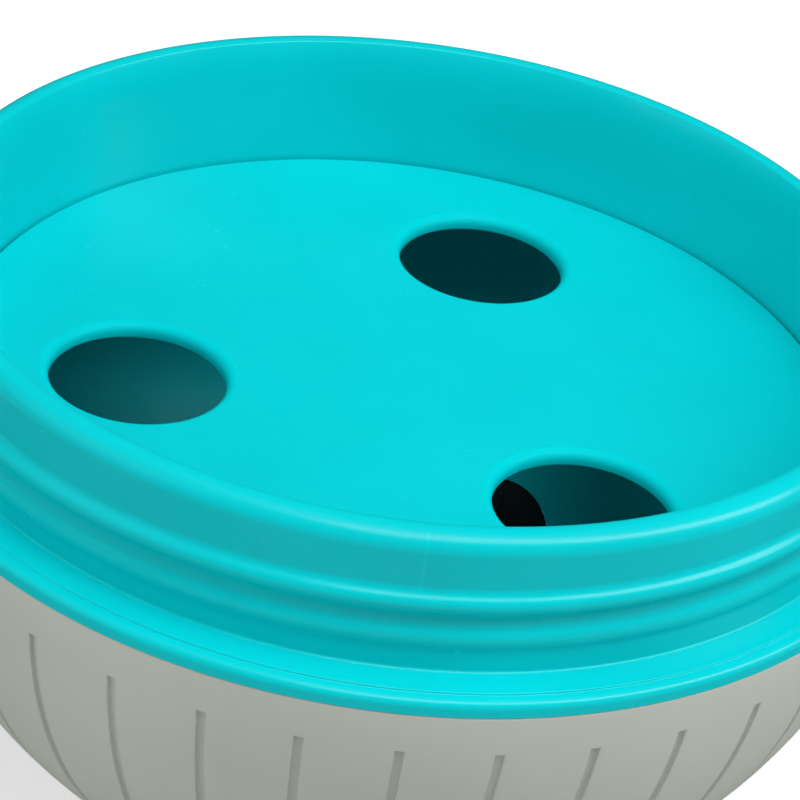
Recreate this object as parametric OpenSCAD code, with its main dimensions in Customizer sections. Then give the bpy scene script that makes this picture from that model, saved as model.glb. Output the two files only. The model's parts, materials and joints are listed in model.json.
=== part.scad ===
// Treat ball, unscrewed: the lower half stands on its foot and the upper half lies open beside it.
// Millimetres, Z up, origin in the middle of the lower half's foot.

/* [Ball] */
// Outside diameter of the closed ball
ball_d = 127; // [118:1:150]
// Diameter of the flat foot at the pole of each half
foot_d = 36; // [26:1:46]
// Room between the two halves as they lie side by side
halves_gap = 44; // [30:1:80]

/* [Grip shells] */
// Thickness of the soft grip shells
grip_t = 1; // [0.9:0.1:1.4]
// Number of grooves around each grip shell
groove_count = 37; // [18:1:48]
// Direction of the first groove
groove_turn = 80.2; // [0:0.1:90]
// Width of a groove
groove_w = 1; // [0.6:0.1:1.6]
// Depth of a groove
groove_depth = 0.5; // [0.3:0.1:0.6]
// Angle from the seam at which the grooves start
groove_start = 6.8; // [4:0.1:12]
// Angle from the seam at which the grooves end
groove_end = 62; // [40:1:68]
// Shadow gap between a flange and the grip shell beside it
edge_gap = 0.1; // [0.1:0.1:0.6]

/* [Bowls] */
// Wall of the two inner bowls
bowl_t = 2.2; // [1.8:0.1:3]
// Gap between pieces that are fixed inside one another
fit_gap = 0.1; // [0.05:0.05:0.2]

/* [Collar] */
// Width of the flange, from the surface of the ball to the outside of the collar
flange_w = 5; // [4.8:0.1:8]
// Thickness of the flange
flange_t = 2.2; // [1.8:0.1:3]
// Width of the lowered rim around the flange of the collar
lip_w = 1.5; // [1:0.1:2]
// How much lower that rim lies
lip_drop = 0.25; // [0.1:0.05:0.4]
// Height of the collar above the flange
collar_h = 16.8; // [15.5:0.1:19]
// Wall of the collar at its rim
collar_t = 4.4; // [3.4:0.1:4.8]
// How much the bore narrows from the rim down to the divider
collar_draft = 0.2; // [0:0.1:0.8]
// Depth of the spigot that plugs into the lower bowl
spigot_h = 5; // [4:0.5:8]
// Wall of the spigot
spigot_t = 2; // [1.6:0.1:3]
// Width of the ledge that carries the divider
ledge_w = 3; // [2:0.1:5]
// Thickness of the ledge
ledge_t = 1.8; // [1.4:0.1:2.6]

/* [Thread] */
// Rise of the thread in one turn
thread_pitch = 4.5; // [4.2:0.1:4.8]
// How far the ridge stands proud of the collar
thread_h = 1; // [0.8:0.1:1.1]
// Radius of the round ridge on the collar
ridge_r = 1.15; // [0.9:0.05:1.3]
// Width of the ridge inside the upper half, at its root
mate_root_w = 1.8; // [1.6:0.1:2]
// Width of the ridge inside the upper half, at its crest
mate_crest_w = 1; // [0.6:0.1:1.2]
// Room between the ridge inside the upper half and the wall of the collar
mate_gap = 0.4; // [0.3:0.05:0.5]
// Height of the lowest half turn above the flange
thread_base = 4.65; // [4.5:0.05:5]
// Number of half turns
thread_halves = 4; // [2:1:4]
// Angle left open between the ends of two half turns
thread_break = 10; // [6:1:20]
// Running clearance between the collar and the upper half
thread_gap = 0.25; // [0.2:0.05:0.3]
// Clearance between the faces that meet at the seam
seam_gap = 0.3; // [0.2:0.05:0.5]

/* [Divider] */
// Thickness of the divider plate
plate_t = 2; // [1.9:0.1:3]
// Clearance between the divider and the collar around it
plate_gap = 0.3; // [0.2:0.05:0.5]
// Clearance between the divider and the ledge under it
seat_gap = 0.2; // [0.1:0.05:0.4]
// Number of holes in the divider
hole_count = 3; // [2:1:4]
// Diameter of a hole
hole_d = 20.8; // [16:0.1:24]
// Distance of a hole from the middle of the divider
hole_ring_r = 32; // [28:0.1:35]
// Direction of the first hole
hole_turn = 75.2; // [0:0.1:120]
// Rounding of the hole edges
hole_round = 0.9; // [0.4:0.1:0.9]

/* [Exit port] */
// Bore of the port that lets the treats out
port_d = 17; // [14:0.5:20]
// Direction of the port
port_turn = 67; // [0:1:359]
// Tilt of the port away from straight down
port_tilt = 40; // [36:1:46]
// Wall of the spout around the port
spout_t = 1.4; // [1.2:0.1:2]
// Thickness of the soft valve in the port
valve_t = 2; // [1.5:0.1:2.5]
// Length of the two crossed slits in the valve
slit_l = 13; // [8:0.5:14]
// Width of the slits
slit_w = 0.3; // [0.2:0.1:0.8]

/* [Hidden] */
$fn = 128;
turquoise = "#08cfd8";
pale_grey = "#b9bdb6";
soft_black = "#17181a";
ball_r = ball_d / 2;
seam_z = sqrt(pow(ball_r, 2) - pow(foot_d / 2, 2));
halves_pitch = ball_d + halves_gap;
bowl_r = ball_r - grip_t - fit_gap;
cavity_r = bowl_r - bowl_t;
bowl_foot_z = grip_t + fit_gap;
bowl_floor_z = bowl_foot_z + bowl_t;
grip_top_z = seam_z - flange_t - edge_gap;
collar_r = ball_r - flange_w;
bore_r = collar_r - collar_t;
seat_r = bore_r - collar_draft;
ledge_z = -plate_t - seat_gap;
spigot_end_z = -flange_t - spigot_h;
spigot_r = sqrt(pow(cavity_r, 2) - pow(spigot_end_z, 2)) - fit_gap;
crest_r = collar_r + thread_h;
ridge_mid_r = crest_r - ridge_r;
sleeve_r = crest_r + thread_gap;
lead_in_r = collar_r + thread_gap;
mate_crest_r = collar_r + mate_gap;
thread_top = thread_base + (thread_halves - 0.5) * thread_pitch / 2 + ridge_r;
plate_r = seat_r - plate_gap;
hole_r = hole_d / 2;
port_r = port_d / 2;
valve_r = port_r - fit_gap;
port_edge = sqrt(pow(cavity_r, 2) - pow(port_r, 2));
// Turns the start of the revolved collar away from the ends of the half turns
seam_turn = 45;
// Cutters reach this far past the faces that they open
past = 1;

// Ball of radius r around the middle of the seam, kept between two heights
module ball_slice(r, bottom_z, top_z) {
    intersection() {
        translate([0, 0, seam_z]) sphere(r = r);
        translate([0, 0, bottom_z]) cylinder(r = r + past, h = top_z - bottom_z);
    }
}

// Side view of a groove: a thin arc at the surface of the ball, with square ends
module groove_outline() {
    reach = 2 * ball_r;
    difference() {
        intersection() {
            circle(r = ball_r + past);
            polygon([
                [0, 0],
                [reach * cos(groove_start), -reach * sin(groove_start)],
                [reach * cos(groove_end), -reach * sin(groove_end)]
            ]);
        }
        circle(r = ball_r - groove_depth);
    }
}

// Meridian grooves all around a half ball
module grooves(first_turn) {
    for (i = [0 : groove_count - 1])
        translate([0, 0, seam_z])
            rotate([90, 0, first_turn + i * 360 / groove_count])
                linear_extrude(groove_w, center = true)
                    groove_outline();
}

// Soft outer skin of a half ball, with its foot and its grooves
module grip_skin(first_turn) {
    difference() {
        ball_slice(ball_r, 0, grip_top_z);
        ball_slice(ball_r - grip_t, grip_t, seam_z + past);
        grooves(first_turn);
    }
}

// Puts a piece that is drawn along Z on the axis of the exit port, from the middle of the ball outwards
module on_port() {
    translate([0, 0, seam_z])
        rotate([0, 180 - port_tilt, port_turn])
            children();
}

// Rod of radius r along the axis of the exit port
module port_rod(r) {
    on_port() cylinder(r = r, h = ball_r + past);
}

// Flange section with a full round edge at the surface of the ball
module flange_outline(inner_r, bottom_z) {
    edge_r = flange_t / 2;
    translate([inner_r, bottom_z])
        square([ball_r - edge_r - inner_r, flange_t]);
    translate([ball_r - edge_r, bottom_z + edge_r])
        circle(r = edge_r);
}

// Thread ridge made of half turns, each tilted so that it climbs half the pitch; the child is its section
module thread(mid_r, first_z) {
    tilt = asin(thread_pitch / 4 / mid_r);
    for (i = [0 : thread_halves - 1]) {
        near_side = i % 2 == 0;
        translate([0, 0, first_z + i * thread_pitch / 2])
            rotate([0, near_side ? -tilt : tilt, 0])
                rotate([0, 0, (near_side ? 180 : 0) + thread_break / 2])
                    rotate_extrude(angle = 180 - thread_break)
                        children();
    }
}

// Section of the ridge inside the upper half, rooted in the wall of its sleeve
module mate_outline() {
    root_r = sleeve_r + thread_gap;
    polygon([
        [mate_crest_r, -mate_crest_w / 2],
        [root_r, -mate_root_w / 2],
        [root_r, mate_root_w / 2],
        [mate_crest_r, mate_crest_w / 2]
    ]);
}

// Moves a piece of the upper half, as it lies open, to its place beside the lower half
module beside() {
    translate([-halves_pitch, 0, 0]) children();
}

// Turns a piece that is drawn as the ball is closed over to where the upper half lies open
module laid_open() {
    translate([-halves_pitch, 0, 2 * seam_z])
        rotate([0, 180, 0])
            children();
}

// Section of the collar: wall with a round rim, flange, ledge for the divider, and spigot
module collar_outline() {
    rim_r = collar_t / 2;
    polygon([
        [seat_r, ledge_z],
        [collar_r, ledge_z],
        [collar_r, collar_h - rim_r],
        [bore_r, collar_h - rim_r],
        [seat_r, 0]
    ]);
    translate([bore_r + rim_r, collar_h - rim_r])
        circle(r = rim_r);
    difference() {
        flange_outline(seat_r, -flange_t);
        translate([ball_r - lip_w, -lip_drop])
            square([lip_w + past, lip_drop + past]);
    }
    translate([seat_r - ledge_w, ledge_z - ledge_t])
        square([spigot_r - seat_r + ledge_w, ledge_t]);
    translate([spigot_r - spigot_t, spigot_end_z])
        square([spigot_t, spigot_h]);
}

// Section of one hole of the divider, with both edges rounded
module hole_outline() {
    waist_r = hole_r + hole_round;
    difference() {
        translate([0, -plate_t - past])
            square([waist_r, plate_t + 2 * past]);
        translate([waist_r, -hole_round])
            circle(r = hole_round);
        translate([waist_r, hole_round - plate_t])
            circle(r = hole_round);
        translate([hole_r, hole_round - plate_t])
            square([waist_r, plate_t - 2 * hole_round]);
    }
}

module lower_grip_shell() {
    color(pale_grey)
        difference() {
            grip_skin(groove_turn);
            port_rod(port_r + spout_t + fit_gap);
        }
}

module lower_bowl() {
    color(turquoise)
        difference() {
            union() {
                ball_slice(bowl_r, bowl_foot_z, seam_z - flange_t);
                intersection() {
                    port_rod(port_r + spout_t);
                    ball_slice(ball_r, 0, seam_z - flange_t);
                }
            }
            ball_slice(cavity_r, bowl_floor_z, seam_z + past);
            port_rod(port_r);
        }
}

module port_valve() {
    color(soft_black)
        on_port()
            translate([0, 0, port_edge + fit_gap])
                difference() {
                    cylinder(r = valve_r, h = valve_t);
                    for (i = [0 : 1])
                        rotate([0, 0, i * 90])
                            translate([-slit_l / 2, -slit_w / 2, -past])
                                cube([slit_l, slit_w, valve_t + 2 * past]);
                }
}

module thread_collar() {
    color(turquoise)
        translate([0, 0, seam_z]) {
            rotate([0, 0, seam_turn])
                rotate_extrude() collar_outline();
            thread(ridge_mid_r, thread_base)
                translate([ridge_mid_r, 0])
                    circle(r = ridge_r);
        }
}

module divider_plate() {
    color(turquoise)
        translate([0, 0, seam_z])
            difference() {
                translate([0, 0, -plate_t])
                    cylinder(r = plate_r, h = plate_t);
                for (i = [0 : hole_count - 1])
                    rotate([0, 0, hole_turn + i * 360 / hole_count])
                        translate([hole_ring_r, 0, 0])
                            rotate_extrude() hole_outline();
            }
}

module upper_grip_shell() {
    color(pale_grey)
        beside() grip_skin(180 - groove_turn);
}

module upper_bowl() {
    rim_z = seam_z - seam_gap;
    sleeve_h = thread_top + thread_gap;
    color(turquoise) {
        beside()
            difference() {
                union() {
                    ball_slice(bowl_r, bowl_foot_z, rim_z);
                    translate([0, 0, seam_z])
                        rotate_extrude()
                            flange_outline(sleeve_r, -flange_t);
                }
                ball_slice(cavity_r, bowl_floor_z, seam_z - sleeve_h);
                translate([0, 0, rim_z])
                    cylinder(r = ball_r + past, h = flange_t);
                translate([0, 0, seam_z - sleeve_h])
                    cylinder(r = sleeve_r, h = sleeve_h + past);
                translate([0, 0, seam_z - collar_h - thread_gap])
                    cylinder(r = lead_in_r, h = collar_h + past);
            }
        laid_open()
            translate([0, 0, seam_z])
                thread(sleeve_r, thread_base - thread_pitch / 2)
                    mate_outline();
    }
}

lower_grip_shell();
lower_bowl();
port_valve();
thread_collar();
divider_plate();
upper_grip_shell();
upper_bowl();
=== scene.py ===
"""Treat ball, unscrewed: the threaded lower half stands open and the upper half lies beside it."""
import json
from math import acos, asin, cos, exp, pi, radians, sin, sqrt

import bmesh
import bpy
import numpy as np
from bpy.props import FloatProperty, FloatVectorProperty, IntProperty, PointerProperty
from bpy.types import Operator, Panel, PropertyGroup
from mathutils import Matrix, Vector


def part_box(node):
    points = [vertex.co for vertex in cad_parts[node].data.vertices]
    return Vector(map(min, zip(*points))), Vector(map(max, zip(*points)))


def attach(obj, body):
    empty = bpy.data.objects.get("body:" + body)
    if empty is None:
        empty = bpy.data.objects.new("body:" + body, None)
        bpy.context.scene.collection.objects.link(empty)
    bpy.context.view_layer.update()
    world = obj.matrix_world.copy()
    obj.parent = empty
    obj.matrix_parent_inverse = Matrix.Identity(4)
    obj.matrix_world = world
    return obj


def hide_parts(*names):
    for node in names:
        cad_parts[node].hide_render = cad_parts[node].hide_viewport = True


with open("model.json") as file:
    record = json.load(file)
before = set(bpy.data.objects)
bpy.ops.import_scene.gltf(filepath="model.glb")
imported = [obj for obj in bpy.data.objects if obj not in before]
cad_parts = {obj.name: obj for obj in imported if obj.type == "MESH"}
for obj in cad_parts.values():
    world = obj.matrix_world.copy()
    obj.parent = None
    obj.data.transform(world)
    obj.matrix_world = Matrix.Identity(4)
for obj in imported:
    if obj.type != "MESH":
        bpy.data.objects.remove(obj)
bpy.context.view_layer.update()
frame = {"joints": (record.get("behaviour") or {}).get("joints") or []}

bl_info = {
    "name": "Treat ball",
    "version": (1, 0, 0),
    "blender": (4, 5, 0),
    "location": "View3D > Sidebar > Treat ball",
    "description": "Models a screw-together treat ball around its packed frame",
    "category": "Add Mesh",
}

MM = 0.001
SWING = next(joint for joint in frame["joints"] if joint["name"] == "upper_half_swing")
SEAM_Z = SWING["pos_m"][2]
UPPER_X = 2 * SWING["pos_m"][0]
BALL_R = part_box("thread_collar")[1].x
COLLAR_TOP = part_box("thread_collar")[1].z - SEAM_Z

# Details that a user wouldn't change, in metres
FIT_GAP = 0.1 * MM
THREAD_GAP = 0.25 * MM
HOLES = 3
HOLE_ROUNDING, HOLE_UNDER_ROUNDING = 1.2 * MM, 0.15 * MM
RIDGE_WIDTH = 2.05 * MM
MATE_RIDGE_WIDTH, MATE_RIDGE_HEIGHT = 1.5 * MM, 0.85 * MM
LEDGE_GAP, LEDGE_WIDTH, LEDGE_THICKNESS = 0.35 * MM, 3 * MM, 1.8 * MM
SPIGOT_HEIGHT, SPIGOT_WALL = 5 * MM, 2 * MM
SPOUT_WALL = 1.4 * MM
FLARE_DEPTH, FLARE_FADE = 0.9 * MM, 2 * MM
WHITE = (1, 1, 1, 1)


class TreatBallSizes(PropertyGroup):
    """Sizes of the two halves, in metres"""

    ball_radius: FloatProperty(
        name="Ball radius", description="Outside radius of the closed ball",
        default=BALL_R, unit="LENGTH")
    foot_radius: FloatProperty(
        name="Foot radius", description="Radius of the flat foot of each half",
        default=18 * MM, unit="LENGTH")
    grip_thickness: FloatProperty(
        name="Grip thickness", description="Thickness of the soft grip skin",
        default=1.0 * MM, unit="LENGTH")
    grooves: IntProperty(
        name="Grooves", description="Number of grooves around each grip skin", default=37)
    groove_turn: FloatProperty(
        name="Groove turn", description="Direction of one groove of the lower half",
        default=radians(80.2), subtype="ANGLE")
    groove_width: FloatProperty(
        name="Groove width", description="Width of a groove between its side walls",
        default=1.0 * MM, unit="LENGTH")
    groove_depth: FloatProperty(
        name="Groove depth", description="Depth of a groove",
        default=0.5 * MM, unit="LENGTH")
    groove_start: FloatProperty(
        name="Groove start", description="Angle from the seam at which the grooves start",
        default=radians(6.8), subtype="ANGLE")
    groove_end: FloatProperty(
        name="Groove end", description="Angle from the seam at which the grooves end",
        default=radians(62), subtype="ANGLE")
    bowl_radius: FloatProperty(
        name="Bowl radius", description="Outside radius of the inner bowls",
        default=62.4 * MM, unit="LENGTH")
    cavity_radius: FloatProperty(
        name="Cavity radius", description="Inside radius of the inner bowls",
        default=60.2 * MM, unit="LENGTH")
    flange_thickness: FloatProperty(
        name="Flange thickness", description="Thickness of the flange at the seam",
        default=2.2 * MM, unit="LENGTH")
    lip_width: FloatProperty(
        name="Lip width", description="Width of the lowered rim around the flange",
        default=1.5 * MM, unit="LENGTH")
    lip_drop: FloatProperty(
        name="Lip drop", description="How much lower the rim of the flange lies",
        default=0.25 * MM, unit="LENGTH")
    collar_radius: FloatProperty(
        name="Collar radius", description="Outside radius of the collar wall",
        default=58.5 * MM, unit="LENGTH")
    collar_wall: FloatProperty(
        name="Collar wall", description="Thickness of the collar wall at its round rim",
        default=4.4 * MM, unit="LENGTH")
    collar_draft: FloatProperty(
        name="Collar draft", description="How much the bore narrows down to the divider",
        default=0.2 * MM, unit="LENGTH")
    thread_pitch: FloatProperty(
        name="Thread pitch", description="Rise of the thread in one turn",
        default=4.5 * MM, unit="LENGTH")
    thread_height: FloatProperty(
        name="Thread height", description="How far the thread stands proud of the collar",
        default=1.0 * MM, unit="LENGTH")
    thread_base: FloatProperty(
        name="Thread base", description="Height of the lowest ridge over the flange, at the front",
        default=4.15 * MM, unit="LENGTH")
    plate_thickness: FloatProperty(
        name="Divider thickness", description="Thickness of the divider",
        default=1.85 * MM, unit="LENGTH")
    plate_gap: FloatProperty(
        name="Divider gap", description="Gap between the divider and the collar",
        default=0.3 * MM, unit="LENGTH")
    hole_radius: FloatProperty(
        name="Hole radius", description="Radius of each hole in the divider",
        default=10.55 * MM, unit="LENGTH")
    hole_ring_radius: FloatProperty(
        name="Hole ring radius", description="Distance of the holes from the middle",
        default=32.0 * MM, unit="LENGTH")
    hole_turn: FloatProperty(
        name="Hole turn", description="Direction of the first hole",
        default=radians(75.2), subtype="ANGLE")
    port_radius: FloatProperty(
        name="Port radius", description="Bore radius of the exit port",
        default=8.5 * MM, unit="LENGTH")
    port_turn: FloatProperty(
        name="Port turn", description="Direction of the exit port",
        default=radians(67), subtype="ANGLE")
    port_tilt: FloatProperty(
        name="Port tilt", description="Tilt of the exit port away from straight down",
        default=radians(40), subtype="ANGLE")
    valve_thickness: FloatProperty(
        name="Valve thickness", description="Thickness of the soft valve in the exit port",
        default=2 * MM, unit="LENGTH")
    slit_length: FloatProperty(
        name="Slit length", description="Length of the two crossed slits of the valve",
        default=13 * MM, unit="LENGTH")
    slit_width: FloatProperty(
        name="Slit width", description="Width of the slits of the valve",
        default=0.12 * MM, unit="LENGTH")
    mould_line_turn: FloatProperty(
        name="Mould line turn", description="Direction of the fine mould line on the collar",
        default=radians(-85.3), subtype="ANGLE")


class TreatBallFinishes(PropertyGroup):
    """Colours of the finishes"""

    turquoise: FloatVectorProperty(
        name="Turquoise", description="Colour of the moulded plastic",
        subtype="COLOR", size=3, min=0, max=1, default=(0.001, 0.64, 0.69))
    grip_grey: FloatVectorProperty(
        name="Grip grey", description="Colour of the soft grip skins",
        subtype="COLOR", size=3, min=0, max=1, default=(0.605, 0.645, 0.58))
    # The near-black of the valve is painted shade: it makes the exit port as dark as a deep opening in
    # shade
    valve_shade_black: FloatVectorProperty(
        name="Valve black", description="Colour of the soft valve",
        subtype="COLOR", size=3, min=0, max=1, default=(0.010, 0.011, 0.012))
    floor: FloatVectorProperty(
        name="Floor", description="Colour of the floor",
        subtype="COLOR", size=3, min=0, max=1, default=(0.62, 0.62, 0.62))


def sizes():
    return bpy.context.scene.treat_ball_sizes


def finishes():
    return bpy.context.scene.treat_ball_finishes


# Modelling helpers

def arc(middle, radius, first, last, steps):
    """Points of an arc between two angles in degrees, as (radius, height)."""
    return [(middle[0] + radius * cos(radians(a)), middle[1] + radius * sin(radians(a)))
            for a in np.linspace(first, last, steps + 1)]


def line(start, end, steps):
    """Points between two ends, without the first."""
    return [(start[0] + (end[0] - start[0]) * i / steps, start[1] + (end[1] - start[1]) * i / steps)
            for i in range(1, steps + 1)]


def rounded(corners, steps=5):
    """Outline through (radius, height, rounding) corners; the first and last stay as they are."""
    points = [corners[0][:2]]
    for before, corner, after in zip(corners, corners[1:], corners[2:]):
        here = Vector(corner[:2])
        back = (Vector(before[:2]) - here).normalized()
        ahead = (Vector(after[:2]) - here).normalized()
        if corner[2] <= 0:
            points.append(corner[:2])
            continue
        half = acos(max(-1, min(1, back.dot(ahead)))) / 2
        reach = corner[2] / max(1e-6, sin(half) / cos(half))
        middle = here + (back + ahead).normalized() * (corner[2] / sin(half))
        start, end = here + back * reach, here + ahead * reach
        for i in range(steps + 1):
            spoke = (start - middle).normalized().slerp((end - middle).normalized(), i / steps)
            points.append(tuple(middle + spoke * corner[2]))
    points.append(corners[-1][:2])
    return points


def sphere_line(radius, first, last, steps):
    """Points along the ball between two angles below the seam, in degrees."""
    return [(radius * cos(radians(a)), SEAM_Z - radius * sin(radians(a)))
            for a in np.linspace(first, last, steps + 1)]


def depth_angle(radius, depth):
    """Angle below the seam, in degrees, at which the ball is this deep."""
    return asin(depth / radius) * 180 / pi


def turned(name, outline, steps, start_turn=0.0):
    """Extrudes an outline of (radius, height) vertex by vertex and spins it into a solid."""
    bpy.ops.object.select_all(action="DESELECT")
    bpy.ops.mesh.primitive_plane_add(size=2 * MM)
    piece = bpy.context.active_object
    piece.name = name
    c, s = cos(start_turn), sin(start_turn)
    bpy.ops.object.mode_set(mode="EDIT")
    bpy.ops.mesh.select_mode(type="VERT")
    bpy.ops.mesh.select_all(action="SELECT")
    bpy.ops.mesh.merge(type="CENTER")
    last = Vector((0, 0, 0))
    for i, (r, z) in enumerate(outline):
        point = Vector((r * c, r * s, z))
        if i == 0:
            bpy.ops.transform.translate(value=point)
        else:
            bpy.ops.mesh.extrude_vertices_move(TRANSFORM_OT_translate={"value": point - last})
        last = point
    bpy.ops.mesh.select_all(action="SELECT")
    bpy.ops.mesh.spin(steps=steps, angle=2 * pi, center=(0, 0, 0), axis=(0, 0, 1))
    bpy.ops.mesh.select_all(action="SELECT")
    bpy.ops.mesh.remove_doubles(threshold=1e-7)
    bpy.ops.mesh.normals_make_consistent(inside=False)
    bpy.ops.object.mode_set(mode="OBJECT")
    return piece


def points_of(piece):
    flat = np.empty(len(piece.data.vertices) * 3, np.float32)
    piece.data.vertices.foreach_get("co", flat)
    return flat.reshape(-1, 3).astype(float)


def put_points(piece, points):
    piece.data.vertices.foreach_set("co", points.astype(np.float32).ravel())
    piece.data.update()


def polar(points):
    """Direction and distance of points around the Z axis."""
    return np.arctan2(points[:, 1], points[:, 0]), np.hypot(points[:, 0], points[:, 1])


def put_polar(piece, points, turn, reach):
    points[:, 0], points[:, 1] = reach * np.cos(turn), reach * np.sin(turn)
    put_points(piece, points)


def select_where(piece, kind, test):
    """In edit mode, selects only the faces or edges that pass the test."""
    bpy.ops.mesh.select_mode(type="FACE" if kind == "faces" else "EDGE")
    bpy.ops.mesh.select_all(action="DESELECT")
    mesh = bmesh.from_edit_mesh(piece.data)
    found = 0
    for part in getattr(mesh, kind):
        if test(part):
            part.select_set(True)
            found += 1
    bmesh.update_edit_mesh(piece.data)
    if not found:
        raise RuntimeError(f"nothing to select on {piece.name}")


def modify(piece, kind, **values):
    """Adds a modifier to a piece and applies it."""
    bpy.context.view_layer.objects.active = piece
    bpy.ops.object.modifier_add(type=kind)
    modifier = piece.modifiers[-1]
    for key, value in values.items():
        setattr(modifier, key, value)
    bpy.ops.object.modifier_apply(modifier=modifier.name)


def cut(piece, tool, operation="DIFFERENCE"):
    """Cuts a piece with a tool, or joins them, and deletes the tool."""
    modify(piece, "BOOLEAN", operation=operation, solver="EXACT", object=tool)
    bpy.data.objects.remove(tool)


def finish_piece(piece, body, node, material, sharp=35):
    """Smooths a piece, gives it its material and fixes it to its body in place of its node."""
    bpy.ops.object.select_all(action="DESELECT")
    piece.select_set(True)
    bpy.context.view_layer.objects.active = piece
    bpy.ops.object.shade_smooth_by_angle(angle=radians(sharp))
    modify(piece, "WEIGHTED_NORMAL", weight=80, keep_sharp=True)
    piece.data.materials.clear()
    piece.data.materials.append(material)
    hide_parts(node)
    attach(piece, body)


# Materials

def new_material(name):
    """New material with its nodes, its links, its shader and the place on the piece."""
    material = bpy.data.materials.new(name)
    material.use_nodes = True
    nodes = material.node_tree.nodes
    place = add_node(nodes, "ShaderNodeTexCoord").outputs["Object"]
    return material, nodes, material.node_tree.links, nodes["Principled BSDF"], place


def add_node(nodes, kind, settings=None, **inputs):
    node = nodes.new(kind)
    for key, value in (settings or {}).items():
        setattr(node, key, value)
    for key, value in inputs.items():
        node.inputs[key.replace("_", " ")].default_value = value
    return node


def noise(nodes, links, coordinates, scale, detail=2.0, roughness=0.5):
    texture = add_node(nodes, "ShaderNodeTexNoise", Scale=scale, Detail=detail, Roughness=roughness)
    links.new(coordinates, texture.inputs["Vector"])
    return texture.outputs["Fac"]


def remap(nodes, links, value, low, high, to_low, to_high):
    node = add_node(nodes, "ShaderNodeMapRange")
    for i, number in enumerate((low, high, to_low, to_high), start=1):
        node.inputs[i].default_value = number
    links.new(value, node.inputs[0])
    return node.outputs[0]


def math(nodes, links, operation, first, second):
    node = add_node(nodes, "ShaderNodeMath", {"operation": operation})
    for socket, value in zip(node.inputs, (first, second)):
        if isinstance(value, (int, float)):
            socket.default_value = value
        else:
            links.new(value, socket)
    return node.outputs[0]


def blend_colour(nodes, links, factor, first, second):
    node = add_node(nodes, "ShaderNodeMix", {"data_type": "RGBA"})
    links.new(factor, node.inputs["Factor"])
    for socket, value in ((node.inputs[6], first), (node.inputs[7], second)):
        if hasattr(value, "is_linked"):
            links.new(value, socket)
        else:
            socket.default_value = (*value, 1)
    return node.outputs[2]


def tint(colour, share):
    return tuple(min(1, c * share) for c in colour)


def mottle(nodes, links, place, base, scale, spread):
    """Colour that changes slowly by a small share to both sides."""
    clouds = remap(nodes, links, noise(nodes, links, place, scale, 3), 0.3, 0.7, 0, 1)
    return blend_colour(nodes, links, clouds, tint(base, 1 - spread), tint(base, 1 + spread))


def grain(nodes, links, shader, place, scale, smooth, rough, strength):
    """Fine grain of a soft surface, in its roughness and its relief."""
    height = noise(nodes, links, place, scale, 2)
    links.new(remap(nodes, links, height, 0.3, 0.7, smooth, rough), shader.inputs["Roughness"])
    bump = add_node(nodes, "ShaderNodeBump", Strength=strength, Distance=0.1 * MM)
    links.new(height, bump.inputs["Height"])
    links.new(bump.outputs["Normal"], shader.inputs["Normal"])


def turquoise_plastic():
    """Satin moulded plastic: faint flow marks, fine orange peel, a few dust specks and rubs."""
    found = bpy.data.materials.get("satin_turquoise")
    if found:
        return found
    material, nodes, links, shader, place = new_material("satin_turquoise")
    base = tuple(finishes().turquoise)
    colour = mottle(nodes, links, place, base, 55, 0.03)
    cells = add_node(nodes, "ShaderNodeTexVoronoi", Scale=150, Randomness=1)
    links.new(place, cells.inputs["Vector"])
    parts = add_node(nodes, "ShaderNodeSeparateColor")
    links.new(cells.outputs["Color"], parts.inputs[0])
    rare = remap(nodes, links, parts.outputs[0], 0.955, 0.96, 0, 1)
    dot = remap(nodes, links, cells.outputs["Distance"], 0.018, 0.03, 1, 0)
    speck = math(nodes, links, "MULTIPLY", rare, dot)
    colour = blend_colour(nodes, links, math(nodes, links, "MULTIPLY", speck, 0.5), colour,
                          (0.35, 0.62, 0.62))
    rubs = noise(nodes, links, place, 180, 4, 0.65)
    links.new(remap(nodes, links, rubs, 0.3, 0.7, 0.2, 0.28), shader.inputs["Roughness"])
    mould_line_and_highlight_mask = mould_line(nodes, links, place)
    # Along the raised mould line the colour is painted 12% lighter: a painted highlight on its ridge.
    # The bump further down raises the line itself.
    colour = blend_colour(nodes, links, math(nodes, links, "MULTIPLY", mould_line_and_highlight_mask, 0.5), colour,
                          tint(base, 1.12))
    peel = noise(nodes, links, place, 1400, 2)
    bump = add_node(nodes, "ShaderNodeBump", Strength=0.05, Distance=0.1 * MM)
    links.new(peel, bump.inputs["Height"])
    links.new(colour, shader.inputs["Base Color"])
    raised = add_node(nodes, "ShaderNodeBump", Strength=0.2, Distance=0.05 * MM)
    links.new(mould_line_and_highlight_mask, raised.inputs["Height"])
    links.new(bump.outputs["Normal"], raised.inputs["Normal"])
    links.new(raised.outputs["Normal"], shader.inputs["Normal"])
    beside_hole = hole_distance(nodes, links, place)
    links.new(remap(nodes, links, beside_hole, 1.1 * MM, 1.5 * MM, 0.02, 0.25),
              shader.inputs["Specular IOR Level"])
    return material


def hole_middles(height):
    """Middles of the holes of the divider, at this height."""
    s = sizes()
    turns = [s.hole_turn + i * 2 * pi / HOLES for i in range(HOLES)]
    return [Vector((s.hole_ring_radius * cos(a), s.hole_ring_radius * sin(a), height)) for a in turns]


def hole_distance(nodes, links, place):
    """Distance from the nearest hole of the divider, whose edges have a duller finish."""
    flat = add_node(nodes, "ShaderNodeVectorMath", {"operation": "MULTIPLY"})
    links.new(place, flat.inputs[0])
    flat.inputs[1].default_value = (1, 1, 0)
    nearest = None
    for middle in hole_middles(0):
        away = add_node(nodes, "ShaderNodeVectorMath", {"operation": "DISTANCE"})
        links.new(flat.outputs[0], away.inputs[0])
        away.inputs[1].default_value = middle
        out = away.outputs["Value"]
        nearest = math(nodes, links, "MINIMUM", nearest, out) if nearest else out
    return math(nodes, links, "SUBTRACT", nearest, sizes().hole_radius)


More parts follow.
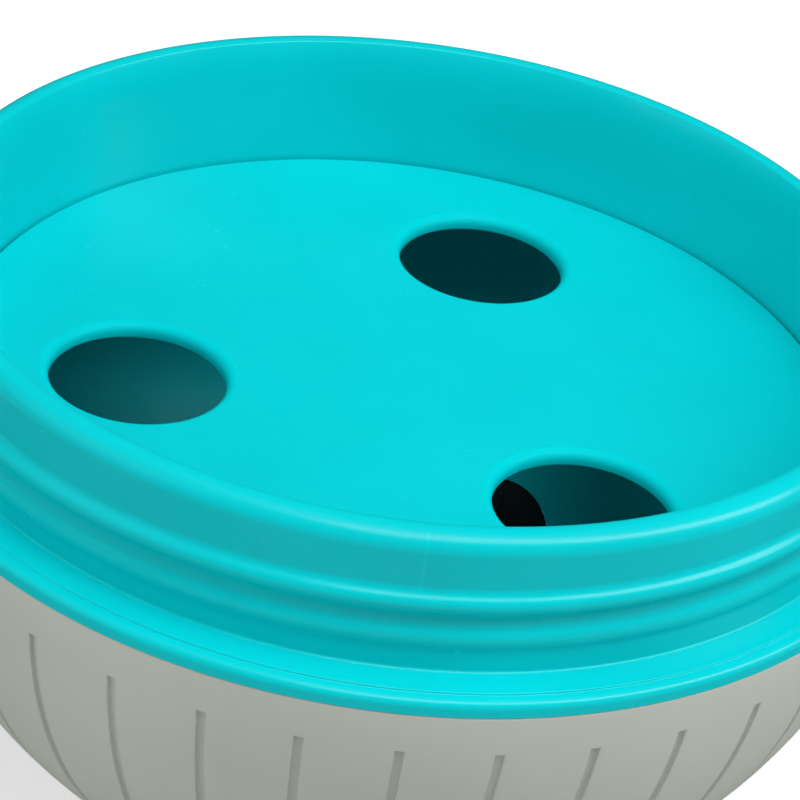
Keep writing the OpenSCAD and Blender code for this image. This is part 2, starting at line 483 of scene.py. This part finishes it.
def mould_line(nodes, links, place):
    """Mask of the fine upright mould line on the outside of the collar."""
    turn = sizes().mould_line_turn
    parts = add_node(nodes, "ShaderNodeSeparateXYZ")
    links.new(place, parts.inputs[0])
    x, y, z = (parts.outputs[axis] for axis in "XYZ")

    def times(first, second):
        return math(nodes, links, "MULTIPLY", first, second)

    across = math(nodes, links, "SUBTRACT", times(x, sin(turn)), times(y, cos(turn)))
    near = remap(nodes, links, math(nodes, links, "ABSOLUTE", across, 0), 0.06 * MM, 0.22 * MM, 1, 0)
    above_thread = remap(nodes, links, z, SEAM_Z + 9.6 * MM, SEAM_Z + 10.2 * MM, 0, 1)
    reach_squared = math(nodes, links, "ADD", times(x, x), times(y, y))
    outside = math(nodes, links, "GREATER_THAN", reach_squared, (57.2 * MM) ** 2)
    return times(times(near, above_thread), outside)


def grip_grey():
    """Soft-touch skin: matt, with a fine grain and slow changes of tone."""
    found = bpy.data.materials.get("soft_touch_grey")
    if found:
        return found
    material, nodes, links, shader, place = new_material("soft_touch_grey")
    base = tuple(finishes().grip_grey)
    links.new(mottle(nodes, links, place, base, 45, 0.03), shader.inputs["Base Color"])
    grain(nodes, links, shader, place, 2600, 0.55, 0.7, 0.12)
    shader.inputs["Specular IOR Level"].default_value = 0.35
    return material


def shade_black_rubber():
    """Soft rubber in a near-black that is painted shade, so the exit port looks as dark as a deep
    opening: matt, with a fine grain and a dusty change of tone.
    """
    material, nodes, links, shader, place = new_material("soft_black_rubber")
    base = tuple(finishes().valve_shade_black)
    dust = remap(nodes, links, noise(nodes, links, place, 160, 4, 0.6), 0.4, 0.75, 0, 1)
    links.new(blend_colour(nodes, links, dust, base, tint(base, 1.6)), shader.inputs["Base Color"])
    grain(nodes, links, shader, place, 2200, 0.55, 0.75, 0.15)
    shader.inputs["Specular IOR Level"].default_value = 0.25
    return material


# Shapes of this object

def ridge(distance, tall, width):
    """Height of a ridge whose round crest and hollow roots are arcs of one radius."""
    away = np.abs(distance)
    radius = (tall ** 2 + width ** 2) / (4 * tall)
    crest = tall - radius + np.sqrt(np.clip(radius ** 2 - away ** 2, 0, None))
    root = radius - np.sqrt(np.clip(radius ** 2 - np.clip(width - away, 0, None) ** 2, 0, None))
    return np.where(away < width / 2, crest, root)


def ease(value):
    value = np.clip(value, 0, 1)
    return value ** 2 * (3 - 2 * value)


def thread_relief(turn, height, base, tall, width, first_share):
    """Height of two right-hand turns of thread; the first starts at a share of the full height."""
    pitch = sizes().thread_pitch
    taper = radians(24)
    relief = np.zeros_like(height)
    for lap in range(3):
        along = turn + 2 * pi * lap
        middle = base + pitch * (along + pi / 2) / (2 * pi)
        fade = ease((along + pi) / taper) * ease((3 * pi - along) / taper)
        share = first_share + (1 - first_share) * ease((along + pi) / (2 * pi))
        relief = np.maximum(relief, ridge(height - middle, tall * share, width) * fade)
    return relief


def port_frame():
    """Matrix whose Z axis runs from the middle of the ball out through the exit port."""
    s = sizes()
    return (Matrix.Translation((0, 0, SEAM_Z)) @ Matrix.Rotation(s.port_turn, 4, "Z")
            @ Matrix.Rotation(pi - s.port_tilt, 4, "Y"))


def port_tool(outline, steps=96, name="port_tool"):
    """Solid turned around the axis of the exit port."""
    tool = turned(name, outline, steps)
    tool.data.transform(port_frame())
    return tool


def port_slab(lengths, out):
    """Box across the axis of the exit port, with its middle this far out."""
    bpy.ops.object.select_all(action="DESELECT")
    bpy.ops.mesh.primitive_cube_add(size=1)
    slab = bpy.context.active_object
    slab.data.transform(port_frame() @ Matrix.Translation((0, 0, out)) @ Matrix.Diagonal((*lengths, 1)))
    return slab


def bowl_levels():
    """Heights of the outside and the inside of a bowl at its pole."""
    s = sizes()
    foot_z = s.grip_thickness + FIT_GAP
    return foot_z, foot_z + s.bowl_radius - s.cavity_radius


def shift(piece, x):
    piece.data.transform(Matrix.Translation((x, 0, 0)))


def grip_skin(name, first_turn):
    """Grooved skin of one half, around the origin."""
    s = sizes()
    top = SEAM_Z - s.flange_thickness - 0.03 * MM
    inner = s.ball_radius - s.grip_thickness
    foot_angle = 90 - depth_angle(s.ball_radius, s.foot_radius)
    start, end = s.groove_start * 180 / pi, s.groove_end * 180 / pi
    top_angle = depth_angle(s.ball_radius, SEAM_Z - top)
    in_top = depth_angle(inner, SEAM_Z - top)
    in_foot = depth_angle(inner, SEAM_Z - s.grip_thickness)
    outline = [(0, 0)] + line((0, 0), (s.foot_radius - 0.6 * MM, 0), 4)
    outline += sphere_line(s.ball_radius, foot_angle - 0.6, end, 6)
    outline += sphere_line(s.ball_radius, end, start, 28)[1:]
    outline += sphere_line(s.ball_radius, start, top_angle + 0.08, 3)[1:]
    outline += [(outline[-1][0] - 0.1 * MM, top)]
    outline += sphere_line(inner, in_top + 0.1, in_foot, 30)
    outline += line(outline[-1], (0, s.grip_thickness), 3)
    steps = 10 * s.grooves
    skin = turned(name, outline, steps, first_turn + pi / steps)
    points = points_of(skin)
    turn, reach = polar(points)
    sector = 2 * pi / s.grooves
    offset = (turn - first_turn + sector / 2) % sector - sector / 2
    below = np.degrees(np.arcsin(np.clip((SEAM_Z - points[:, 2]) / s.ball_radius, -1, 1)))
    outside = np.linalg.norm(points - (0, 0, SEAM_Z), axis=1) > s.ball_radius - 0.05 * MM
    beside = outside & (np.abs(offset) < 0.6 * sector / 10) & (below > start - 0.1) & (below < end + 0.1)
    moved = turn - offset + np.sign(offset) * s.groove_width / 2 / np.maximum(reach, MM)
    put_polar(skin, points, np.where(beside, moved, turn), reach)
    bpy.ops.object.mode_set(mode="EDIT")

    def in_groove(face):
        middle = face.calc_center_median()
        off = (np.arctan2(middle.y, middle.x) - first_turn + sector / 2) % sector - sector / 2
        low = np.degrees(asin(max(-1, min(1, (SEAM_Z - middle.z) / s.ball_radius))))
        far = (middle - Vector((0, 0, SEAM_Z))).length
        return abs(off) < 0.2 * sector / 10 and start < low < end and far > s.ball_radius - 0.3 * MM

    select_where(skin, "faces", in_groove)
    bpy.ops.mesh.extrude_region_shrink_fatten(TRANSFORM_OT_shrink_fatten={"value": -s.groove_depth})
    bpy.ops.mesh.select_mode(type="EDGE")
    bpy.ops.mesh.select_all(action="DESELECT")
    bpy.ops.mesh.edges_select_sharp(sharpness=radians(50))
    bpy.ops.mesh.bevel(offset=0.17 * MM, segments=2, affect="EDGES")
    bpy.ops.object.mode_set(mode="OBJECT")
    return skin


class TREATBALL_OT_collar(Operator):
    """Turn the threaded collar with its flange, ledge and spigot"""

    bl_idname = "treat_ball.collar"
    bl_label = "Threaded collar"

    def execute(self, context):
        s = sizes()
        mm = MM
        rim = s.collar_wall / 2
        bore = s.collar_radius - s.collar_wall
        seat = bore - s.collar_draft
        shoulder = COLLAR_TOP - rim
        ledge, spigot = s.plate_thickness + LEDGE_GAP, s.flange_thickness + SPIGOT_HEIGHT
        under = ledge + LEDGE_THICKNESS
        spigot_r = sqrt(s.cavity_radius ** 2 - spigot ** 2) - FIT_GAP
        spigot_in = spigot_r - SPIGOT_WALL
        fillet = 0.35 * mm
        lip_r = s.ball_radius - s.lip_width
        outline = arc((s.collar_radius + fillet, fillet), fillet, 270, 180, 9)
        outline += line(outline[-1], (s.collar_radius, shoulder), 118)
        over = arc((bore + rim, shoulder), rim, 0, 112, 20)
        outline += over[1:-2]
        edge_r, edge_z = over[-1]
        narrowing = edge_r - FLARE_DEPTH - seat
        flare = [(edge_r - FLARE_DEPTH * (1 - exp(-d / FLARE_FADE)) - narrowing * d / edge_z, edge_z - d)
                 for d in np.linspace(0.6 * mm, edge_z, 24)]
        outline += rounded([over[-3], (edge_r, edge_z, 0.3 * mm), flare[0]], 5)[1:-1] + flare
        outline += rounded([(seat, 0), (seat, -ledge, 0.15 * mm), (seat - LEDGE_WIDTH, -ledge, 0.3 * mm),
                            (seat - LEDGE_WIDTH, -under, 0.3 * mm), (spigot_in, -under, 0.3 * mm),
                            (spigot_in, -spigot, 0.4 * mm), (spigot_r, -spigot, 0.6 * mm),
                            (spigot_r, -s.flange_thickness, 0.2 * mm),
                            (s.ball_radius - 1.6 * mm, -s.flange_thickness)], 3)[1:]
        outline += rounded([outline[-1], (s.ball_radius, -s.flange_thickness, 0.12 * mm),
                            (s.ball_radius, -s.lip_drop, 0.95 * mm),
                            (lip_r + 0.07 * mm, -s.lip_drop, 0.12 * mm),
                            (lip_r, 0, 0.12 * mm), outline[0]], 8)[1:]
        piece = turned("collar_with_thread", [(r, z + SEAM_Z) for r, z in outline], 400)
        points = points_of(piece)
        turn, reach = polar(points)
        height = points[:, 2] - SEAM_Z
        wall = (np.abs(reach - s.collar_radius) < 0.02 * mm) & (height > fillet - 0.05 * mm)
        relief = thread_relief(turn, height, s.thread_base, s.thread_height, RIDGE_WIDTH, 0.5)
        put_polar(piece, points, turn, reach + np.where(wall, relief, 0))
        finish_piece(piece, "lower_half", "thread_collar", turquoise_plastic())
        return {"FINISHED"}


class TREATBALL_OT_divider(Operator):
    """Fill, extrude and bevel the divider with its round holes"""

    bl_idname = "treat_ball.divider"
    bl_label = "Divider"

    def execute(self, context):
        s = sizes()
        plate_r = s.collar_radius - s.collar_wall - s.collar_draft - s.plate_gap
        under = SEAM_Z - s.plate_thickness
        middles = hole_middles(SEAM_Z)
        bpy.ops.object.select_all(action="DESELECT")
        bpy.ops.mesh.primitive_circle_add(vertices=256, radius=plate_r, location=(0, 0, SEAM_Z))
        piece = bpy.context.active_object
        piece.name = "divider_with_holes"
        bpy.ops.object.transform_apply(location=True, rotation=False, scale=False)
        bpy.ops.object.mode_set(mode="EDIT")
        for middle in middles:
            bpy.ops.mesh.primitive_circle_add(vertices=128, radius=s.hole_radius, location=middle)
        bpy.ops.mesh.select_all(action="SELECT")
        bpy.ops.mesh.fill(use_beauty=True)
        bpy.ops.mesh.select_all(action="SELECT")
        bpy.ops.mesh.extrude_region_move(
            TRANSFORM_OT_translate={"value": (0, 0, -s.plate_thickness)})
        bpy.ops.mesh.select_all(action="SELECT")
        bpy.ops.mesh.normals_make_consistent(inside=False)

        def at_hole(edge, height):
            a, b = (v.co for v in edge.verts)
            level = max(abs(a.z - height), abs(b.z - height)) < 0.01 * MM
            return (level and any(abs((a - m).xy.length - s.hole_radius) < 0.05 * MM for m in middles)
                    and edge.calc_length() < 2 * MM)

        def at_edge(edge):
            a, b = (v.co for v in edge.verts)
            return (abs(a.z - b.z) < 0.01 * MM and abs(a.xy.length - plate_r) < 0.05 * MM
                    and edge.calc_length() < 3 * MM)

        for height, rounding in ((SEAM_Z, HOLE_ROUNDING), (under, HOLE_UNDER_ROUNDING)):
            select_where(piece, "edges", lambda edge: at_hole(edge, height))
            bpy.ops.mesh.bevel(offset=rounding, segments=8, affect="EDGES", profile=0.5)
        select_where(piece, "edges", at_edge)
        bpy.ops.mesh.bevel(offset=0.25 * MM, segments=3, affect="EDGES", profile=0.5)
        for height in (SEAM_Z, under):
            select_where(piece, "faces", lambda face: max(
                abs(v.co.z - height) for v in face.verts) < 0.001 * MM)
            bpy.ops.mesh.delete(type="FACE")
            select_where(piece, "edges", lambda edge: edge.is_boundary)
            bpy.ops.mesh.fill(use_beauty=True)
        bpy.ops.mesh.select_all(action="SELECT")
        bpy.ops.mesh.normals_make_consistent(inside=False)
        bpy.ops.object.mode_set(mode="OBJECT")
        finish_piece(piece, "divider", "divider_plate", turquoise_plastic())
        return {"FINISHED"}


class TREATBALL_OT_lower_bowl(Operator):
    """Turn the lower bowl and cut its exit port"""

    bl_idname = "treat_ball.lower_bowl"
    bl_label = "Lower bowl"

    def execute(self, context):
        s = sizes()
        top = s.flange_thickness
        foot_z, floor_z = bowl_levels()
        outline = [(0, foot_z)]
        outline += sphere_line(s.bowl_radius, depth_angle(s.bowl_radius, SEAM_Z - foot_z),
                               depth_angle(s.bowl_radius, top), 36)
        outline += sphere_line(s.cavity_radius, depth_angle(s.cavity_radius, top),
                               depth_angle(s.cavity_radius, SEAM_Z - floor_z), 40)
        outline += line(outline[-1], (0, floor_z), 4)
        piece = turned("bowl_with_port", outline, 240)
        wall, bore = s.port_radius + SPOUT_WALL, s.port_radius
        mouth = sqrt(s.ball_radius ** 2 - wall ** 2) - FIT_GAP
        root = s.cavity_radius + 0.6 * MM
        ring = rounded([(bore + 0.5 * MM, root), (wall, root, 0), (wall, mouth, 0.35 * MM),
                        (bore + 0.5 * MM, mouth + 0.2 * MM)], 4)
        cut(piece, port_tool(ring + [(bore + 0.5 * MM, root)]), "UNION")
        rod = [(0, s.cavity_radius - 8 * MM), (bore, s.cavity_radius - 8 * MM),
               (bore, mouth - 0.5 * MM), (bore + 0.15 * MM, mouth - 0.15 * MM),
               (bore + 0.55 * MM, mouth + 0.6 * MM), (0, mouth + 0.6 * MM)]
        cut(piece, port_tool(rod))
        finish_piece(piece, "lower_half", "lower_bowl", turquoise_plastic())
        return {"FINISHED"}


class TREATBALL_OT_port_valve(Operator):
    """Turn the soft valve of the exit port and slit it crosswise"""

    bl_idname = "treat_ball.port_valve"
    bl_label = "Port valve"

    def execute(self, context):
        s = sizes()
        radius = s.port_radius - 0.03 * MM
        inside = sqrt(s.cavity_radius ** 2 - s.port_radius ** 2) + FIT_GAP
        outside = inside + s.valve_thickness
        outline = [(0, inside)] + line((0, inside), (radius - 1.4 * MM, inside), 6)
        outline += rounded([outline[-1], (radius, inside, 0.12 * MM), (radius, outside, 0.35 * MM),
                            (radius - 1.2 * MM, outside, 0.3 * MM),
                            (radius - 1.5 * MM, outside - 0.35 * MM, 0.3 * MM),
                            (0, outside - 0.35 * MM)], 4)[1:]
        piece = port_tool(outline, 128, "valve_with_slits")
        middle = (inside + outside) / 2
        deep = s.valve_thickness + 2 * MM
        cut(piece, port_slab((s.slit_length, s.slit_width, deep), middle))
        cut(piece, port_slab((s.slit_width, s.slit_length, deep), middle))
        finish_piece(piece, "lower_half", "port_valve", shade_black_rubber())
        return {"FINISHED"}


class TREATBALL_OT_upper_bowl(Operator):
    """Turn the upper bowl with its flange, sleeve and inside thread"""

    bl_idname = "treat_ball.upper_bowl"
    bl_label = "Upper bowl"

    def execute(self, context):
        s = sizes()
        mm = MM
        foot_z, floor_z = bowl_levels()
        rim_z = SEAM_Z - 0.3 * mm
        sleeve_r = s.collar_radius + s.thread_height + THREAD_GAP
        sleeve_h = s.thread_base + 1.75 * s.thread_pitch + 1.4 * mm
        pocket_r, pocket_h = s.collar_radius + THREAD_GAP, COLLAR_TOP + THREAD_GAP
        edge = s.flange_thickness / 2
        outline = [(0, foot_z)]
        outline += sphere_line(s.bowl_radius, depth_angle(s.bowl_radius, SEAM_Z - foot_z),
                               depth_angle(s.bowl_radius, s.flange_thickness), 36)
        outline += arc((s.ball_radius - edge, SEAM_Z - edge), edge, 270, 390, 10)
        outline += rounded([outline[-1], (s.ball_radius - 0.3 * mm, rim_z, 0.15 * mm),
                            (sleeve_r, rim_z, 0.5 * mm), (sleeve_r, rim_z - 1.2 * mm)], 5)[1:]
        outline += line(outline[-1], (sleeve_r, SEAM_Z - sleeve_h), 100)
        outline += rounded([outline[-1], (pocket_r, SEAM_Z - sleeve_h - 0.3 * mm, 0.3 * mm),
                            (pocket_r, SEAM_Z - pocket_h, 0.3 * mm),
                            (s.cavity_radius * cos(asin(pocket_h / s.cavity_radius)),
                             SEAM_Z - pocket_h)], 4)[1:]
        outline += sphere_line(s.cavity_radius, depth_angle(s.cavity_radius, pocket_h),
                               depth_angle(s.cavity_radius, SEAM_Z - floor_z), 36)[1:]
        outline += line(outline[-1], (0, floor_z), 4)
        piece = turned("bowl_with_sleeve", outline, 360)
        points = points_of(piece)
        turn, reach = polar(points)
        depth = SEAM_Z - points[:, 2]
        wall = (np.abs(reach - sleeve_r) < 0.02 * mm) & (depth > 0.6 * mm)
        wall &= depth < sleeve_h - 0.1 * mm
        closed_turn = (2 * pi - turn) % (2 * pi) - pi
        relief = thread_relief(closed_turn, depth, s.thread_base - s.thread_pitch / 2,
                               MATE_RIDGE_HEIGHT, MATE_RIDGE_WIDTH, 1.0)
        put_polar(piece, points, turn, reach - np.where(wall, relief, 0))
        shift(piece, UPPER_X)
        finish_piece(piece, "upper_half", "upper_bowl", turquoise_plastic())
        return {"FINISHED"}


class TREATBALL_OT_grip_skins(Operator):
    """Turn the two grip skins and press their grooves in"""

    bl_idname = "treat_ball.grip_skins"
    bl_label = "Grip skins"

    def execute(self, context):
        s = sizes()
        lower = grip_skin("grip_skin_lower", s.groove_turn)
        wall = s.port_radius + SPOUT_WALL + FIT_GAP
        cut(lower, port_tool([(0, 40 * MM), (wall, 40 * MM), (wall, 70 * MM), (0, 70 * MM)]))
        finish_piece(lower, "lower_half", "lower_grip_shell", grip_grey(), 40)
        upper = grip_skin("grip_skin_upper", pi - s.groove_turn)
        shift(upper, UPPER_X)
        finish_piece(upper, "upper_half", "upper_grip_shell", grip_grey(), 40)
        return {"FINISHED"}


def floor_paper():
    """Pale paper that shows white to the camera and still takes the shadow."""
    material, nodes, links, shader, place = new_material("floor_paper")
    paper = mottle(nodes, links, place, tuple(finishes().floor), 300, 0.01)
    links.new(paper, shader.inputs["Base Color"])
    shader.inputs["Roughness"].default_value = 0.9
    shader.inputs["Specular IOR Level"].default_value = 0.1
    path = add_node(nodes, "ShaderNodeLightPath")
    seen = math(nodes, links, "MAXIMUM", path.outputs["Is Camera Ray"],
                path.outputs["Is Transmission Ray"])
    shader.inputs["Emission Color"].default_value = WHITE
    links.new(math(nodes, links, "MULTIPLY", seen, 0.58), shader.inputs["Emission Strength"])
    return material


def softbox(name, place, along, width, height, power, shines=True):
    """Area lamp aimed at the seam, with its long side along a direction."""
    bpy.ops.object.light_add(type="AREA")
    lamp = bpy.context.active_object
    lamp.name = name
    lamp.data.shape = "RECTANGLE"
    lamp.data.size, lamp.data.size_y = width, height
    lamp.data.energy = power
    lamp.visible_glossy = shines
    back = (Vector(place) - Vector((0, 0, SEAM_Z))).normalized()
    side = back.cross(Vector(along)).normalized()
    turn = Matrix((side.cross(back), side, back)).transposed().to_4x4()
    lamp.matrix_world = Matrix.Translation(place) @ turn


class TREATBALL_OT_stage(Operator):
    """Set the floor, the soft studio light and the camera"""

    bl_idname = "treat_ball.stage"
    bl_label = "Stage"

    def execute(self, context):
        scene = context.scene
        bpy.ops.object.select_all(action="DESELECT")
        bpy.ops.mesh.primitive_plane_add(size=8, location=(0, 0, -0.1 * MM))
        floor = context.active_object
        floor.name = "floor"
        floor.data.materials.append(floor_paper())
        floor.visible_glossy = False
        softbox("key_softbox", (0.20, -0.44, 1.05), (1, 0.4, 0), 0.72, 0.5, 4.6)
        softbox("side_softbox", (0.70, -0.15, 0.69), (0.54, 0.56, -0.47), 0.74, 0.29, 4.2)
        softbox("top_softbox", (0.05, -0.12, 1.22), (1, 0, 0), 1.0, 0.8, 3.8, shines=False)
        softbox("fill_softbox", (-0.85, -0.35, 0.50), (0, 1, 0), 0.8, 0.8, 3.4, shines=False)
        world = bpy.data.worlds.new("studio")
        world.use_nodes = True
        back = world.node_tree.nodes["Background"]
        back.inputs["Color"].default_value = WHITE
        nodes, links = world.node_tree.nodes, world.node_tree.links
        path = add_node(nodes, "ShaderNodeLightPath")
        links.new(remap(nodes, links, path.outputs["Is Glossy Ray"], 0, 1, 0.12, 0.03),
                  back.inputs["Strength"])
        scene.world = world
        scene.view_settings.view_transform = "Standard"
        bpy.ops.object.camera_add()
        camera = context.active_object
        camera.name = "photo_camera"
        right = Vector((0.98933048, 0.07195628, 0.12667876))
        up = Vector((-0.14555356, 0.52563153, 0.83816803))
        ahead = Vector((0.0062749, 0.84766372, -0.53049679))
        turn = Matrix((right, up, -ahead)).transposed().to_4x4()
        camera.matrix_world = Matrix.Translation((-0.002058, -0.312924, 0.252822)) @ turn
        camera.data.sensor_width = 36
        camera.data.lens = 137.026
        camera.data.clip_start = 0.01
        scene.camera = camera
        return {"FINISHED"}


class VIEW3D_PT_treat_ball(Panel):
    """Lists the steps that build the treat ball"""

    bl_label = "Treat ball"
    bl_space_type = "VIEW_3D"
    bl_region_type = "UI"
    bl_category = "Treat ball"

    def draw(self, context):
        for step in STEPS:
            self.layout.operator(step.bl_idname)
        for group in (sizes(), finishes()):
            box = self.layout.box()
            for name in group.bl_rna.properties.keys():
                if name not in ("rna_type", "name"):
                    box.prop(group, name)


STEPS = (TREATBALL_OT_stage, TREATBALL_OT_collar, TREATBALL_OT_divider, TREATBALL_OT_lower_bowl,
         TREATBALL_OT_port_valve, TREATBALL_OT_grip_skins, TREATBALL_OT_upper_bowl)
CLASSES = (TreatBallSizes, TreatBallFinishes, *STEPS, VIEW3D_PT_treat_ball)


def register():
    for cls in CLASSES:
        bpy.utils.register_class(cls)
    bpy.types.Scene.treat_ball_sizes = PointerProperty(type=TreatBallSizes)
    bpy.types.Scene.treat_ball_finishes = PointerProperty(type=TreatBallFinishes)


def unregister():
    del bpy.types.Scene.treat_ball_finishes
    del bpy.types.Scene.treat_ball_sizes
    for cls in reversed(CLASSES):
        bpy.utils.unregister_class(cls)


def main():
    register()
    bpy.ops.treat_ball.stage()
    bpy.ops.treat_ball.collar()
    bpy.ops.treat_ball.divider()
    bpy.ops.treat_ball.lower_bowl()
    bpy.ops.treat_ball.port_valve()
    bpy.ops.treat_ball.grip_skins()
    bpy.ops.treat_ball.upper_bowl()


if __name__ == "__main__":
    main()
